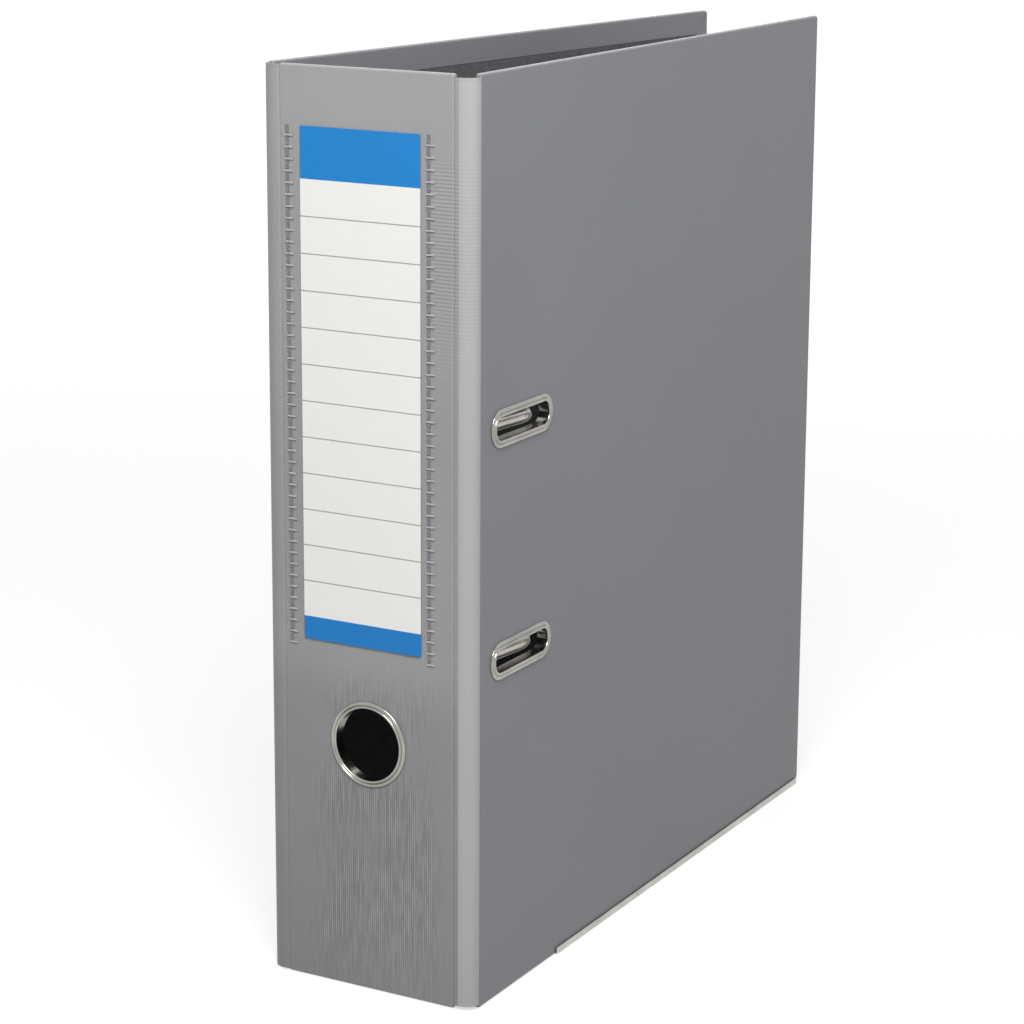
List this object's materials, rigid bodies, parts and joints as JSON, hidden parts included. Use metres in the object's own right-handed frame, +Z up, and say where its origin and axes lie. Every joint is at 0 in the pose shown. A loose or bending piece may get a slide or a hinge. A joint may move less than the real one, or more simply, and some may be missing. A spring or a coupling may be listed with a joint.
{
  "type": "lever arch file",
  "caption": "Foil-covered board file for punched A4 paper, with a lever arch mechanism, slotted front cover, spine label and finger ring.",
  "frame": {"origin": "middle of the base, halfway between the covers' outsides and between the spine's face and the fore-edges", "axes": "+Z up along the spine, the spine faces -Y, the front cover is on +X and the rear cover with the mechanism on -X"},
  "size_m": [0.0836, 0.2862, 0.318],
  "materials": {
    "cover_foil": "satin grey plastic foil over board",
    "hinge_foil": "satin grey plastic foil",
    "lining_paper": "matt grey paper",
    "nickel": "bright nickel-plated steel",
    "label_card": "smooth white card with blue bands",
    "clear_film": "clear film"
  },
  "bodies": {
    "rear_case": {"rear_cover": "cover_foil", "rear_lining": "lining_paper", "rear_edge_strip": "nickel", "rivet_1": "nickel", "rivet_2": "nickel", "rivet_3": "nickel", "rivet_4": "nickel", "base_plate": "nickel", "post_upper": "nickel", "post_lower": "nickel", "lever_pin": "nickel"},
    "spine_case": {"spine_panel": "cover_foil", "spine_lining": "lining_paper", "finger_ring": "nickel", "label_card": "label_card", "label_pocket": "clear_film", "front_hinge_strip": "hinge_foil", "rear_hinge_strip": "hinge_foil"},
    "front_case": {"front_cover": "cover_foil", "front_lining": "lining_paper", "front_edge_strip": "nickel", "slot_ring_upper": "nickel", "slot_ring_lower": "nickel"},
    "arches": {"arch_wire": "nickel"},
    "lever_arm": {"lever": "nickel", "roller_pin": "nickel"},
    "roller": {"lever_roller": "nickel"},
    "clamp": {"paper_clamp": "nickel"}
  },
  "joints": [
    {"name": "spine_hinge", "type": "hinge", "parent": "rear_case", "child": "spine_case", "pos_m": [-0.03819, -0.13926, 0.159], "axis": [0, 0, -1], "range_deg": [0, 90], "deforming": ["rear_hinge_strip"]},
    {"name": "front_hinge", "type": "hinge", "parent": "spine_case", "child": "front_case", "pos_m": [0.03761, -0.13926, 0.159], "axis": [0, 0, -1], "range_deg": [0, 180], "deforming": ["front_hinge_strip"]},
    {"name": "lever_lift", "type": "hinge", "parent": "rear_case", "child": "lever_arm", "pos_m": [-0.02443, -0.09404, 0.158], "axis": [0, 0, 1], "range_deg": [0, 90]},
    {"name": "arch_open", "type": "hinge", "parent": "rear_case", "child": "arches", "pos_m": [-0.03425, -0.12349, 0.158], "axis": [0, 0, -1], "range_deg": [0, 40]},
    {"name": "roller_spin", "type": "hinge", "parent": "lever_arm", "child": "roller", "pos_m": [-0.02699, -0.10791, 0.158], "axis": [0, 0, 1], "continuous": true},
    {"name": "clamp_slide", "type": "slide", "parent": "rear_case", "child": "clamp", "axis": [0.9981, -0.061, 0], "range_m": [0, 0.04]}
  ],
  "couplings": [
    {"joint": "arch_open", "follows": "lever_lift", "ratio": 0.4444},
    {"joint": "spine_hinge", "follows": "lever_lift", "ratio": 1}
  ]
}
